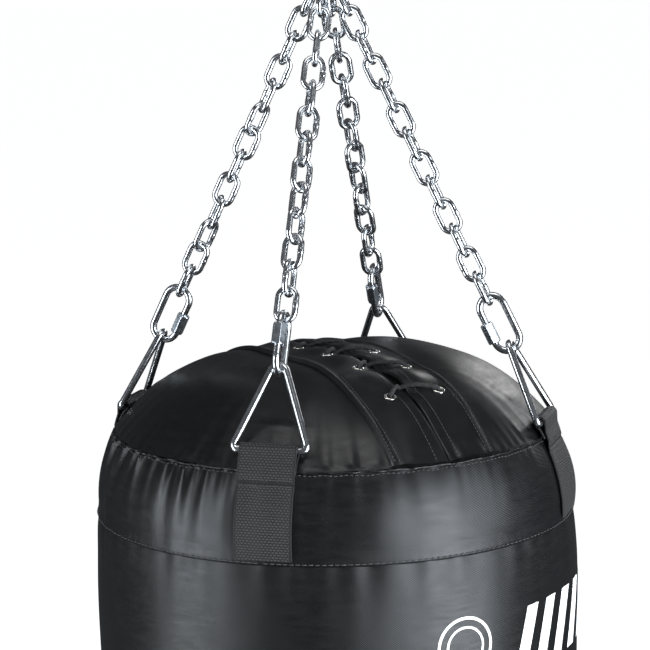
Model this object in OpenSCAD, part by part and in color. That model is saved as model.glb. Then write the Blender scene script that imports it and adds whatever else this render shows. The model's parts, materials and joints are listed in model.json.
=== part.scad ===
// Hanging heavy bag with a swivel, four chain legs, quick links and triangle rings.
// Frame: origin at the centre of the swivel eye, +Z up, the bag hangs towards -Z.
// The four legs point to -Y (front), +X (right), +Y (back) and -X (left).

/* [Bag] */
// Radius of the bag at its upper seam
rim_r = 189; // [180:1:200]
// Radius of the straight body
body_r = 207; // [202:1:215]
// Height of the collar band between the two seams
collar_h = 69; // [55:1:85]
// Height of the domed top above the upper seam
dome_h = 67; // [55:1:75]
// Length of the main shell below the lower seam
shell_len = 1077; // [600:1:1500]
// Thickness of the covering, lining included
skin_t = 3; // [2:0.5:4]

/* [Hanging gear] */
// Diameter of the hole in the swivel eye
eye_hole_d = 18; // [14:1:22]
// Height from the eye's centre down to the bow's lower bar
bow_drop = 66; // [64:1:80]
// Wire diameter of the swivel bow
bow_wire = 6.6; // [6:0.2:6.6]
// Wire diameter of the chain
chain_wire = 5; // [4.5:0.1:5.2]
// Inner length of one chain link, which is the chain's pitch
pitch = 22.5; // [22:0.1:23]
// Number of links in one leg
link_count = 13; // [5:2:15]
// Wire diameter of the quick link
quick_wire = 6; // [5:0.5:6]
// Inner length of the quick link
quick_len = 43; // [42:1:48]
// Wire diameter of the triangle ring
ring_wire = 6; // [5:0.5:6]
// Height of the triangle ring from its base bar to the inside of its apex
ring_h = 67; // [60:1:72]

/* [Soft goods] */
// Width of the webbing straps
strap_w = 48; // [40:1:50]
// Thickness of the webbing
strap_t = 2.2; // [1.5:0.1:3]
// Width of each closure flap beside the slit
flap_w = 52; // [40:1:60]
// Thickness of the lace
lace_d = 4.4; // [3:0.2:5]

/* [Hidden] */
$fn = 48;

steel = "silver";
vinyl = [0.09, 0.09, 0.1];
gap = 0.3;                               // clearance between parts that move on each other

// Swivel heights
boss_top = -24;
boss_h = 10;
boss_r = 13;
shank_r = 5;
pin_z = -44.9;                           // split pin below the nut
bow_half = 20;                           // centre of the bow's wire from the axis
bar_z = -bow_drop;

// Bag heights
bar_to_rim = 370;                        // height of the bow's bar above the upper seam
rim_z = bar_z - bar_to_rim;
shell_top = rim_z - collar_h;
shell_bottom = shell_top - shell_len;

bow_seat = 4;                            // a leaning link rests this far above the bar's axis

// One leg from the bow's bar to the ring's base bar, in a straight line
leg_len = link_count * pitch + quick_len + ring_h - bow_seat;
// Heights of the base bars above the rim, and where the legs sit along the bow's bar
base_up = [15.5, 12, 15.5, 12];
bar_out = [0, 11, 0, 11];
bar_side = [2.75, 0, 2.75, 0];
twist_step = [7.5, 0, 7.5, 0];           // extra turn of each link against the one above
first_turn = [90, 0, 90, 0];             // 0 puts the first link across the leg's own plane
sleeve_up = [1, -1, 1, -1];              // sleeve in the upper or the lower half
sleeve_side = [1, -1, -1, -1];           // sleeve on the outer (+1) or the inner (-1) side

function base_out(i) = bar_out[i]
    + sqrt(pow(leg_len, 2) - pow(bar_to_rim - base_up[i], 2) - pow(bar_side[i], 2));
function base_z(i) = rim_z + base_up[i];
function lean(i) = atan2(base_out(i) - bar_out[i], bar_z - base_z(i));
function side_lean(i) = asin(bar_side[i] / leg_len);

// Places children in the leg's own frame: +Z up the leg, +Y outwards, origin on the bow's bar
module on_leg(i) {
    rotate([0, 0, 180 + 90 * i])
        translate([bar_side[i], bar_out[i], bar_z])
            rotate([lean(i), 0, 0])
                rotate([0, side_lean(i), 0])
                    children();
}

// Places children on the ring's base bar, +Z up the leg
module on_base(i) {
    on_leg(i) translate([0, 0, -leg_len]) children();
}

// Straight wire between two points of the XZ plane
module wire_between(a, b, d) {
    run = b - a;
    if (norm(run) > 0.05)
        translate([a[0], 0, a[1]])
            rotate([0, atan2(run[0], run[1]), 0])
                cylinder(d = d, h = norm(run));
}

// Wire bent in an arc of the XZ plane, from angle a0 over sweep degrees
module wire_arc(c, r, a0, sweep, d) {
    translate([c[0], 0, c[1]])
        rotate([90, 0, 0])
            rotate([0, 0, a0])
                rotate_extrude(angle = sweep)
                    translate([r, 0]) circle(d = d, $fn = 24);
}

// Long round-ended link, standing in the XZ plane, centred
module stadium_link(inner_len, inner_w, d) {
    r = (inner_w + d) / 2;
    h = inner_len / 2 + d / 2 - r;
    wire_arc([0, h], r, 0, 180, d);
    wire_arc([0, -h], r, 180, 180, d);
    for (s = [-1, 1]) wire_between([s * r, -h], [s * r, h], d);
}

// ---------- swivel ----------
module swivel_eye() {
    color(steel) difference() {
        union() {
            rotate([90, 0, 0]) cylinder(r = 17, h = 8, center = true);
            translate([0, 0, -21.5]) cylinder(r1 = 9, r2 = 4, h = 8);
            translate([0, 0, boss_top + gap]) cylinder(r = 9, h = 2.5);
            translate([0, 0, -47.5]) cylinder(r = shank_r, h = 31.5);
        }
        rotate([90, 0, 0]) cylinder(d = eye_hole_d, h = 20, center = true);
        translate([0, 0, pin_z]) rotate([90, 0, 0]) cylinder(r = 1.1, h = 20, center = true, $fn = 24);
    }
}

module swivel_nut() {
    color(steel) translate([0, 0, -43]) difference() {
        cylinder(r = 8.6, h = 6.2, $fn = 6);
        translate([0, 0, -1]) cylinder(r = shank_r, h = 9);
    }
}

module split_pin() {
    color(steel) translate([0, 0, pin_z]) rotate([90, 0, 0]) {
        cylinder(r = 1, h = 17, center = true, $fn = 24);
        for (s = [-1, 1]) translate([0, 0, s * 8.5]) sphere(r = 1.6, $fn = 24);
    }
}

module bearing_race() {
    color(steel) translate([0, 0, -36.8]) difference() {
        cylinder(r = 9.5, h = 1);
        translate([0, 0, -1]) cylinder(r = shank_r, h = 3);
        rotate_extrude() translate([7.2, 1.6]) circle(r = 0.8, $fn = 24);
    }
}

module bearing_balls() {
    color("gainsboro") for (a = [0 : 30 : 330])
        rotate([0, 0, a]) translate([7.2, 0, -35.2]) sphere(r = 0.75, $fn = 24);
}

module bearing_cap() {
    color(steel) difference() {
        translate([0, 0, -36.2]) cylinder(r = 11, h = boss_top - boss_h + 36.2);
        translate([0, 0, -37]) cylinder(r = 9.9, h = 2.8);
        translate([0, 0, -40]) cylinder(r = shank_r + gap, h = 10);
    }
}

module swivel_bow() {
    corner = 5;
    top = boss_top - boss_h / 2;
    shoulder = top - 10;
    color(steel) difference() {
        union() {
            translate([0, 0, boss_top - boss_h]) cylinder(r = boss_r, h = boss_h);
            wire_between([corner - bow_half, bar_z], [bow_half - corner, bar_z], bow_wire);
            for (s = [0, 1]) mirror([s, 0, 0]) {
                wire_arc([bow_half - corner, bar_z + corner], corner, -90, 90, bow_wire);
                wire_between([bow_half, bar_z + corner], [bow_half, shoulder], bow_wire);
                wire_arc([bow_half - 10, shoulder], 10, 0, 90, bow_wire);
            }
        }
        translate([0, 0, -40]) cylinder(r = shank_r + gap, h = 30);
    }
}

// ---------- chain legs ----------
module chain(i) {
    color(steel) on_leg(i)
        for (n = [0 : link_count - 1])
            translate([0, 0, bow_seat + chain_up - pitch * (n + 0.5)])
                rotate([0, 0, first_turn[i] + n * (90 + twist_step[i])])
                    stadium_link(pitch + 0.2, 10.5, chain_wire);
}
module chain_front() { chain(0); }
module chain_right() { chain(1); }
module chain_back() { chain(2); }
module chain_left() { chain(3); }

// Centre of the quick link, along the leg
quick_z = bow_seat - pitch * link_count - quick_len / 2;
chain_up = 0.2;                          // keeps each leg just off the bow's bar
quick_slack = 0.6;                       // spare length inside the quick link
quick_side = 11;                         // centre of the quick link's wire from its own axis
mouth_h = 6;                             // opening in the quick link's threaded side
sleeve_len = 18;
sleeve_mid = 4.5;

// Quick link frame: its wire loop lies in the leg's radial plane
module on_quick(i) {
    on_leg(i) translate([0, 0, quick_z + quick_slack / 4]) rotate([0, 0, 90]) children();
}

module quick_link(i) {
    color(steel) on_quick(i) difference() {
        stadium_link(quick_len + quick_slack, 2 * quick_side - quick_wire, quick_wire);
        translate([sleeve_side[i] * quick_side, 0, sleeve_up[i] * 8])
            cube([quick_wire + 2, quick_wire + 2, mouth_h], center = true);
    }
}
module quick_link_front() { quick_link(0); }
module quick_link_right() { quick_link(1); }
module quick_link_back() { quick_link(2); }
module quick_link_left() { quick_link(3); }

module sleeve(i) {
    color("gainsboro") on_quick(i)
        translate([sleeve_side[i] * quick_side, 0, sleeve_up[i] * sleeve_mid]) difference() {
            cylinder(r = 5.7, h = sleeve_len, center = true, $fn = 6);
            cylinder(r = quick_wire / 2 + gap, h = sleeve_len + 2, center = true);
        }
}
module sleeve_front() { sleeve(0); }
module sleeve_right() { sleeve(1); }
module sleeve_back() { sleeve(2); }
module sleeve_left() { sleeve(3); }

// ---------- triangle rings ----------
ring_corner = 4;                         // bend radius at the two base corners
ring_top = 7;                            // bend radius at the apex
ring_half = 32.2;                        // half of the sharp triangle's base
ring_side_angle = 68.6;                  // slope of the ring's two sides
apex_half = 90 - ring_side_angle;
// Height of the sharp triangle, and the centre of its apex bend, whose inside is at ring_h
sharp_h = ring_half * tan(ring_side_angle);
apex_c = sharp_h - ring_top / sin(apex_half);

module ring(i) {
    base_c = ring_half - ring_corner / tan(ring_side_angle / 2);
    turn = 180 - ring_side_angle;
    side_out = [sin(ring_side_angle), cos(ring_side_angle)];
    foot = [base_c, ring_corner] + ring_corner * side_out;
    head = [0, apex_c] + ring_top * side_out;
    into = 0.4 * [-side_out[1], side_out[0]];  // straights run this far into the bends
    straight = ring_wire - 0.1;
    color(steel) on_base(i) {
        wire_between([-base_c - 0.4, 0], [base_c + 0.4, 0], straight);
        wire_arc([0, apex_c], ring_top, apex_half, 180 - 2 * apex_half, ring_wire);
        wire_arc([base_c, ring_corner], ring_corner, -90, turn, ring_wire);
        wire_arc([-base_c, ring_corner], ring_corner, -90 - turn, turn, ring_wire);
        lower = foot - into;
        upper = head + into;
        for (s = [-1, 1])
            wire_between([s * lower[0], lower[1]], [s * upper[0], upper[1]], straight);
    }
}
module ring_front() { ring(0); }
module ring_right() { ring(1); }
module ring_back() { ring(2); }
module ring_left() { ring(3); }

// ---------- bag ----------
collar_steps = 8;
dome_steps = 16;
dome_curve = 2.8;                        // a higher power gives a flatter top and a steeper edge
// Outer profile of the collar, from the rim down to the lower seam
function collar_pt(t, off) =
    [rim_r + off + (body_r - rim_r) * (1 - pow(1 - t, 2)), rim_z - collar_h * t];
// Outer profile of the dome, from the rim to the top
function dome_pt(t, off) = [rim_r * (1 - t), rim_z + off + dome_h * (1 - pow(1 - t, dome_curve))];

// Skin that follows the dome, from height lo to height hi above its surface
module dome_layer(lo, hi) {
    rotate_extrude($fn = 96)
        polygon(concat([for (n = [0 : dome_steps]) dome_pt(n / dome_steps, lo)],
                       [for (n = [dome_steps : -1 : 0]) dome_pt(n / dome_steps, hi)]));
}

module top_panel() {
    color(vinyl) dome_layer(-skin_t, 0);
}

slit_turn = 45;                          // the slit runs between the front and right rings
tongue_half = 30;
tongue_t = 1.2;
flap_t = 2;

// Band of the dome beside the slit, from x0 to x1 across it
module slit_band(x0, x1, lo, hi) {
    intersection() {
        dome_layer(lo, hi);
        rotate([0, 0, slit_turn]) translate([x0, -178, rim_z - 5]) cube([x1 - x0, 356, 100]);
    }
}

module slit_tongue() {
    color(vinyl) slit_band(-tongue_half, tongue_half, 0, tongue_t);
}

row_y = [-122, -86, -50, -14];           // lace rows along the slit, front row first
eyelet_left = -16;                       // across the slit
eyelet_right = 27;
// Height and slope of the flaps' top at a distance from the axis
function flap_z(r) = rim_z + dome_h * (1 - pow(r / rim_r, dome_curve)) + tongue_t + flap_t;
function flap_slope(r) = atan(dome_h * dome_curve * pow(r / rim_r, dome_curve - 1) / rim_r);

// Places children on the flap at an eyelet, +Z out of the bag
module on_eyelet(x, y) {
    r = norm([x, y]);
    rotate([0, 0, slit_turn]) translate([x, y, flap_z(r)])
        rotate([0, 0, atan2(y, x)]) rotate([0, flap_slope(r), 0]) children();
}

module closure_flap(x0, x1, eyelet_x) {
    color(vinyl) difference() {
        slit_band(x0, x1, 0, tongue_t + flap_t);
        slit_band(-tongue_half, tongue_half, -1, tongue_t);
        for (y = row_y) on_eyelet(eyelet_x, y) translate([0, 0, -6]) cylinder(r = 4.1, h = 9);
    }
}
module flap_left() { closure_flap(-flap_w, -1.5, eyelet_left); }
module flap_right() { closure_flap(1.5, flap_w, eyelet_right); }

module eyelets(x) {
    color("gainsboro") for (y = row_y) on_eyelet(x, y) difference() {
        union() {
            translate([0, 0, 0.3]) cylinder(r = 5.6, h = 1);
            translate([0, 0, -1.4]) cylinder(r = 3.9, h = 2);
        }
        translate([0, 0, -3]) cylinder(r = 2.9, h = 6);
    }
}
module eyelets_left() { eyelets(eyelet_left); }
module eyelets_right() { eyelets(eyelet_right); }

// The lace goes down into an eyelet, over the slit and down into the facing eyelet, in each row
module lace() {
    color([0.05, 0.05, 0.05]) rotate([0, 0, slit_turn]) for (y = row_y) {
        left = [eyelet_left, flap_z(norm([eyelet_left, y])) + 2.4 + lace_d / 2];
        right = [eyelet_right, flap_z(norm([eyelet_right, y])) + 2.4 + lace_d / 2];
        translate([0, y, 0]) {
            wire_between(left + [-2, 0], right + [2, 0], lace_d);
            for (end = [left, right])
                translate([end[0], 0, end[1] - 3.4]) cylinder(d = lace_d - 1.4, h = 3.4);
        }
    }
}

module collar_band() {
    // Its upper edge is cut on a slant, to lie under the edge of the domed top
    color(vinyl) rotate_extrude($fn = 96)
        polygon(concat([[rim_r, rim_z - skin_t - 0.05]],
                       [for (n = [1 : collar_steps]) collar_pt(n / collar_steps, 0)],
                       [for (n = [collar_steps : -1 : 1]) collar_pt(n / collar_steps, -skin_t)],
                       [[rim_r - skin_t, rim_z - 0.3]]));
}

// Round cord sewn into a seam, cut away where the straps cross it
module piping(r, z, d) {
    rotate_extrude($fn = 96) translate([r, z]) circle(d = d, $fn = 24);
}

module strap_gaps() {
    for (i = [0 : 3]) rotate([0, 0, 180 + 90 * i])
        translate([0, body_r, rim_z - 30]) cube([strap_w + 1, 60, 150], center = true);
}

module upper_piping() {
    color([0.04, 0.04, 0.04]) difference() {
        piping(rim_r + 1.4, rim_z + 1.4, 2.4);
        strap_gaps();
    }
}

module lower_piping() {
    color([0.12, 0.12, 0.13]) piping(body_r + 1.55, shell_top - 1.55, 3);
}

// Webbing strap: a band up the collar and a loop round the ring's base bar
module strap(i) {
    half_angle = asin(strap_w / 2 / body_r);
    bar = [base_out(i), base_z(i)];
    loop_r = ring_wire / 2 + 0.4 + strap_t;
    color([0.07, 0.07, 0.08]) {
        rotate([0, 0, 180 + 90 * i]) rotate([0, 0, 90 - half_angle])
            rotate_extrude(angle = 2 * half_angle, $fn = 96)
                polygon(concat([for (n = [1 : collar_steps]) collar_pt(n / collar_steps, 0.1)],
                               [for (n = [collar_steps : -1 : 1]) collar_pt(n / collar_steps, strap_t)]));
        rotate([0, 0, 180 + 90 * i]) rotate([90, 0, 90])
            translate([0, 0, -strap_w / 2]) linear_extrude(strap_w) difference() {
                union() {
                    translate(bar) circle(r = loop_r);
                    polygon([bar + [loop_r, 0], bar + [1.5, 0.5 - loop_r], [rim_r + 0.6, rim_z + 0.5],
                             collar_pt(1 / 4, 0.2), collar_pt(1 / 4, strap_t),
                             [rim_r + strap_t + 3, rim_z + 2]]);
                }
                translate(bar) circle(r = ring_wire / 2 + 0.4);
            }
    }
}
module strap_front() { strap(0); }
module strap_right() { strap(1); }
module strap_back() { strap(2); }
module strap_left() { strap(3); }

module main_shell() {
    color(vinyl) translate([0, 0, shell_bottom]) difference() {
        cylinder(r = body_r, h = shell_len, $fn = 96);
        translate([0, 0, -1]) cylinder(r = body_r - skin_t, h = shell_len + 2, $fn = 96);
    }
}

// Overlapped upright seam down the back of the shell
module back_seam_strip() {
    color(vinyl) rotate([0, 0, 90 - 3.2]) translate([0, 0, shell_bottom + 12])
        rotate_extrude(angle = 6.4, $fn = 96)
            translate([body_r, 0]) square([1.4, shell_len - 18]);
}

module bottom_panel() {
    color(vinyl) translate([0, 0, shell_bottom]) cylinder(r = body_r - skin_t, h = skin_t + 1, $fn = 96);
}

module bottom_piping() {
    color([0.04, 0.04, 0.04]) piping(body_r + 1.55, shell_bottom + 3, 3);
}

module filling() {
    color("dimgray") rotate_extrude($fn = 96)
        polygon(concat([[0, shell_bottom + skin_t + 1],
                        [body_r - skin_t, shell_bottom + skin_t + 1],
                        [body_r - skin_t, shell_top]],
                       [for (n = [collar_steps : -1 : 1]) collar_pt(n / collar_steps, -skin_t - 0.05)],
                       [[rim_r - skin_t - 0.6, rim_z - 0.5]],
                       [for (n = [1 : dome_steps]) dome_pt(n / dome_steps, -skin_t - 0.05)]));
}

swivel_eye();
swivel_nut();
split_pin();
bearing_race();
bearing_balls();
swivel_bow();
bearing_cap();
chain_front();
chain_right();
chain_back();
chain_left();
quick_link_front();
quick_link_right();
quick_link_back();
quick_link_left();
sleeve_front();
sleeve_right();
sleeve_back();
sleeve_left();
ring_front();
ring_right();
ring_back();
ring_left();
strap_front();
strap_right();
strap_back();
strap_left();
top_panel();
slit_tongue();
flap_left();
flap_right();
eyelets_left();
eyelets_right();
lace();
collar_band();
upper_piping();
lower_piping();
main_shell();
back_seam_strip();
bottom_panel();
bottom_piping();
filling();
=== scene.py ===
"""Looks of the hanging punching bag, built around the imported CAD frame. Lengths are in metres."""

import json
import math

import bpy
import numpy as np
from mathutils import Matrix, Vector


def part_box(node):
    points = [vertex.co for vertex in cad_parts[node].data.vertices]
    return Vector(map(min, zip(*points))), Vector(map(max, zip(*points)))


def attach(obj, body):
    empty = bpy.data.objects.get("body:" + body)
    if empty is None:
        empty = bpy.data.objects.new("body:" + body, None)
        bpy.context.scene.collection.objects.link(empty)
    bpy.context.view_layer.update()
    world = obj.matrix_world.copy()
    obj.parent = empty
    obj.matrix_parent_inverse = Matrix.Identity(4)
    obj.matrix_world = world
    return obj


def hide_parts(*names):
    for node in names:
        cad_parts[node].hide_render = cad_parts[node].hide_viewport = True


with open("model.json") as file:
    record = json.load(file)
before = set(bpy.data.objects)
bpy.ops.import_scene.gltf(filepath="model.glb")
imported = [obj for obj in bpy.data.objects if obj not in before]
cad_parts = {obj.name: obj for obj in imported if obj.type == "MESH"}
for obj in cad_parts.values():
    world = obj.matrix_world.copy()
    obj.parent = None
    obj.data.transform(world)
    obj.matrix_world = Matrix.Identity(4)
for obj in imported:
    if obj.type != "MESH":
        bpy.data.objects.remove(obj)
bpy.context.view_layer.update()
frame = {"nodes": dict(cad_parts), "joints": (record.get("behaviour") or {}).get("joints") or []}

# ---------- sizes read from the frame ----------
JOINTS = {j["name"]: j for j in frame["joints"]}
SIDES = ("front", "right", "back", "left")
RIM_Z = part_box("collar_band")[1].z
SEAM_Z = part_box("collar_band")[0].z
SHELL_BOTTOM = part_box("main_shell")[0].z
RIM_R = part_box("top_panel")[1].x
BODY_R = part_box("main_shell")[1].x
DOME_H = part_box("top_panel")[1].z - RIM_Z
COLLAR_H = RIM_Z - SEAM_Z

# ---------- sizes repeated from the CAD source ----------
PITCH = 0.0225
LINKS = 13
QUICK_LEN = 0.043
RING_H = 0.067
BOW_SEAT = 0.004  # the top links rest this far above the axis of the bow's bar
CHAIN_WIRE = 0.005
QUICK_WIRE = 0.006
RING_WIRE = 0.006
STRAP_W = 0.048
STRAP_T = 0.0022
SLIT_TURN = math.radians(45)
LEG_LEN = LINKS * PITCH + QUICK_LEN + RING_H - BOW_SEAT
TWIST = {"front": 7.5, "right": 0.0, "back": 7.5, "left": 0.0}
FIRST_TURN = {"front": 90.0, "right": 0.0, "back": 90.0, "left": 0.0}
SLEEVE_UP = {"front": 1, "right": -1, "back": 1, "left": -1}
SLEEVE_SIDE = {"front": 1, "right": -1, "back": -1, "left": -1}

# ---------- sizes of the looks alone ----------
ROWS = (-0.125, -0.072, -0.019, 0.034)  # lace rows along the slit
EYELET_LEFT = -0.016  # across the slit, as are the flaps' outer edges
EYELET_RIGHT = 0.030
FLAP_EDGE_LEFT = -0.049
FLAP_EDGE_RIGHT = 0.046
FLAP_HEIGHT = 0.0026  # face of the flaps above the domed top
WEAVE_FLOAT = 0.0030  # length of one yarn float in the webbing
WEAVE_ROW = 0.0021
# Degrees each link turns beyond its place in the CAD: the left leg hangs with half a turn of twist
EXTRA_TURN = {"left": (0, 0, 0, 0, 30, 60, 90, 90, 90, 120, 150, 180, 180)}


# ---------- mesh helpers ----------
def new_piece(name, verts, faces, material, smooth=True):
    """A mesh object from arrays of points and faces."""
    mesh = bpy.data.meshes.new(name)
    mesh.from_pydata([tuple(v) for v in verts], [], [tuple(f) for f in faces])
    mesh.validate()
    if smooth:
        mesh.shade_smooth()
    mesh.materials.append(material)
    piece = bpy.data.objects.new(name, mesh)
    bpy.context.scene.collection.objects.link(piece)
    return piece


def grid_faces(rows, cols, wrap_rows=False, wrap_cols=False, start=0):
    """Quads of a grid whose points are stored row by row."""
    faces = []
    for i in range(rows if wrap_rows else rows - 1):
        for j in range(cols if wrap_cols else cols - 1):
            a = start + i * cols + j
            b = start + i * cols + (j + 1) % cols
            c = start + ((i + 1) % rows) * cols + (j + 1) % cols
            d = start + ((i + 1) % rows) * cols + j
            faces.append((a, b, c, d))
    return faces


def unit(v):
    return v / np.maximum(np.linalg.norm(v, axis=-1, keepdims=True), 1e-12)


def tube_mesh(path, radius, closed=False, sides=14, caps=True, start=0):
    """Points and faces of a tube along path; radius is one number or one for each point and side."""
    path = np.asarray(path, float)
    count = len(path)
    if closed:
        tangent = unit(np.roll(path, -1, 0) - np.roll(path, 1, 0))
    else:
        tangent = unit(np.gradient(path, axis=0))
    normal = np.zeros_like(path)
    seed = np.cross(tangent[0], [0.0, 0.0, 1.0])
    if np.linalg.norm(seed) < 0.1:
        seed = np.cross(tangent[0], [1.0, 0.0, 0.0])
    normal[0] = unit(seed)
    for i in range(1, count):
        step = normal[i - 1] - tangent[i] * np.dot(normal[i - 1], tangent[i])
        normal[i] = unit(step)
    side = np.cross(tangent, normal)
    angle = np.linspace(0, 2 * math.pi, sides, endpoint=False)
    radius = np.asarray(radius, float)
    if radius.ndim == 0:
        radius = np.full((count, sides), float(radius))
    elif radius.ndim == 1:
        radius = np.repeat(radius[:, None], sides, 1)
    ring = np.cos(angle)[None, :, None] * normal[:, None] + np.sin(angle)[None, :, None] * side[:, None]
    verts = (path[:, None] + ring * radius[..., None]).reshape(-1, 3)
    faces = grid_faces(count, sides, wrap_rows=closed, wrap_cols=True, start=start)
    if caps and not closed:
        faces.append(tuple(start + k for k in range(sides))[::-1])
        faces.append(tuple(start + (count - 1) * sides + k for k in range(sides)))
    return verts, faces


def join_tubes(name, tubes, material):
    """One piece made of several tubes; each is (path, radius, closed, sides)."""
    verts, faces, start = [], [], 0
    for path, radius, closed, sides in tubes:
        v, f = tube_mesh(path, radius, closed, sides, start=start)
        verts.append(v)
        faces += f
        start += len(v)
    return new_piece(name, np.vstack(verts), faces, material)


def ripple(seed, low, high, terms=9):
    """A wave of an angle, periodic over a full turn, with a size of about one."""
    rng = np.random.default_rng(seed)
    ks = rng.integers(low, high + 1, terms)
    phases = rng.uniform(0, 2 * math.pi, terms)
    weights = rng.uniform(0.5, 1.0, terms)
    weights = weights / np.sqrt((weights**2).sum() / 2)
    return lambda a: sum(w * np.sin(k * a + p) for k, p, w in zip(ks, phases, weights))


def lumps(seed, size, terms=14):
    """A smooth random height of two coordinates, with lumps of about the given size."""
    rng = np.random.default_rng(seed)
    heading = rng.uniform(0, 2 * math.pi, terms)
    k = 2 * math.pi / size * rng.uniform(0.5, 1.3, terms)
    phases = rng.uniform(0, 2 * math.pi, terms)
    scale = math.sqrt(2 / terms)
    return lambda x, y: scale * sum(
        np.sin(kk * (x * math.cos(h) + y * math.sin(h)) + p) for kk, h, p in zip(k, heading, phases)
    )


def bell(x, width):
    return np.exp(-((x / width) ** 2))


def ease(x, low, high):
    """0 below low, 1 above high, smooth between."""
    t = np.clip((x - low) / (high - low), 0, 1)
    return t * t * (3 - 2 * t)


# ---------- materials ----------
def material(name, **sockets):
    """A Principled material with constant values set on the shader's own sockets."""
    mat = bpy.data.materials.new(name)
    mat.use_nodes = True
    shader = mat.node_tree.nodes["Principled BSDF"]
    for key, value in sockets.items():
        shader.inputs[key.replace("_", " ")].default_value = value
    return mat, mat.node_tree, shader


def add(tree, kind, **values):
    node = tree.nodes.new(kind)
    for key, value in values.items():
        if key in node.inputs:
            node.inputs[key].default_value = value
        else:
            setattr(node, key, value)
    return node


def object_coords(tree, scale=(1, 1, 1), turn=(0, 0, 0)):
    coords = add(tree, "ShaderNodeTexCoord")
    mapping = add(tree, "ShaderNodeMapping")
    mapping.inputs["Scale"].default_value = scale
    mapping.inputs["Rotation"].default_value = turn
    tree.links.new(coords.outputs["Object"], mapping.inputs["Vector"])
    return mapping.outputs["Vector"]


def noise(tree, vector, scale, detail=3.0, rough=0.5):
    node = add(tree, "ShaderNodeTexNoise", Scale=scale, Detail=detail, Roughness=rough)
    tree.links.new(vector, node.inputs["Vector"])
    return node.outputs["Fac"]


def ramp(tree, value, low, high, at=(0.3, 0.7)):
    """Maps a value to a colour or grey between low and high."""
    node = add(tree, "ShaderNodeValToRGB")
    for element, spot, colour in zip(node.color_ramp.elements, at, (low, high)):
        element.position = spot
        element.color = colour if len(colour) == 4 else (*colour, 1)
    tree.links.new(value, node.inputs["Fac"])
    return node.outputs["Color"]


def grey(v):
    return (v, v, v)


def bump(tree, heights, shader):
    """Chains bumps; heights is a list of (output, strength, distance)."""
    last = None
    for output, strength, distance in heights:
        node = add(tree, "ShaderNodeBump", Strength=strength, Distance=distance)
        tree.links.new(output, node.inputs["Height"])
        if last is not None:
            tree.links.new(last, node.inputs["Normal"])
        last = node.outputs["Normal"]
    tree.links.new(last, shader.inputs["Normal"])


def plated_steel(name, tint, rough_low, rough_high):
    """Zinc-plated wire: bright, slightly uneven, with fine drawing marks and dull patches."""
    mat, tree, shader = material(name, Metallic=1.0)
    at = object_coords(tree)
    cloud = noise(tree, at, 160.0, 4.0, 0.6)
    fine = noise(tree, at, 1500.0, 2.0, 0.5)
    dark = tuple(c * 0.86 for c in tint)
    tree.links.new(ramp(tree, cloud, dark, tint, (0.25, 0.6)), shader.inputs["Base Color"])
    tree.links.new(ramp(tree, cloud, grey(rough_high), grey(rough_low)), shader.inputs["Roughness"])
    bump(tree, [(cloud, 0.12, 0.0002), (fine, 0.06, 0.00005)], shader)
    return mat


def vinyl(name, base, rough, ribs=0.3):
    """Coated fabric: fine slanted twill under a soft gloss, with scuffs and a slight grain."""
    mat, tree, shader = material(name)
    at = object_coords(tree)
    cloud = noise(tree, at, 14.0, 5.0, 0.6)
    scuff = noise(tree, object_coords(tree, (1, 1, 6), (0.5, 0.3, 0.2)), 45.0, 6.0, 0.7)
    grain = add(tree, "ShaderNodeTexVoronoi", Scale=950.0)
    tree.links.new(at, grain.inputs["Vector"])
    twill = add(tree, "ShaderNodeTexWave", Scale=250.0, Distortion=0.4)
    tree.links.new(object_coords(tree, (1, 1, 1), (0.0, 0.785, 0.0)), twill.inputs["Vector"])
    light = tuple(min(1, c * 1.5 + 0.0015) for c in base)
    tree.links.new(ramp(tree, cloud, base, light), shader.inputs["Base Color"])
    tree.links.new(ramp(tree, scuff, grey(rough - 0.05), grey(rough + 0.1)), shader.inputs["Roughness"])
    bump(
        tree,
        [
            (cloud, 0.2, 0.002),
            (grain.outputs["Distance"], 0.12, 0.0002),
            (twill.outputs["Fac"], ribs, 0.0002),
        ],
        shader,
    )
    return mat


def thread(name, base, rough=0.75, sheen=0.3):
    """Spun or woven yarn: matt, fuzzy, with uneven dye."""
    mat, tree, shader = material(name, Sheen_Weight=sheen, Sheen_Roughness=0.5)
    at = object_coords(tree)
    cloud = noise(tree, at, 220.0, 4.0, 0.6)
    fibre = noise(tree, object_coords(tree, (1, 1, 4)), 1800.0, 2.0, 0.6)
    light = tuple(min(1, c * 2.0 + 0.01) for c in base)
    tree.links.new(ramp(tree, cloud, base, light), shader.inputs["Base Color"])
    uneven = ramp(tree, fibre, grey(rough - 0.1), grey(min(1, rough + 0.1)))
    tree.links.new(uneven, shader.inputs["Roughness"])
    bump(tree, [(fibre, 0.4, 0.0002)], shader)
    return mat


STEEL = plated_steel("plated_steel", (0.76, 0.78, 0.80), 0.17, 0.28)
SLEEVE_STEEL = plated_steel("sleeve_steel", (0.66, 0.71, 0.76), 0.22, 0.36)
BEARING_STEEL = plated_steel("bearing_steel", (0.8, 0.8, 0.82), 0.08, 0.16)
EYELET_STEEL = plated_steel("eyelet_metal", (0.93, 0.9, 0.84), 0.14, 0.26)
VINYL = vinyl("bag_vinyl", (0.0030, 0.0031, 0.0036), 0.36)
VINYL_TOP = vinyl("top_vinyl", (0.0024, 0.0025, 0.0028), 0.37, ribs=0.05)
VINYL_SHELL = vinyl("shell_vinyl", (0.0026, 0.0027, 0.0031), 0.40)
PIPING = vinyl("piping_vinyl", (0.003, 0.003, 0.0034), 0.4)
TONGUE = vinyl("tongue_vinyl", (0.0015, 0.0015, 0.0016), 0.6)
WEBBING = thread("webbing", (0.012, 0.012, 0.0125), 0.6, 0.05)


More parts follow.
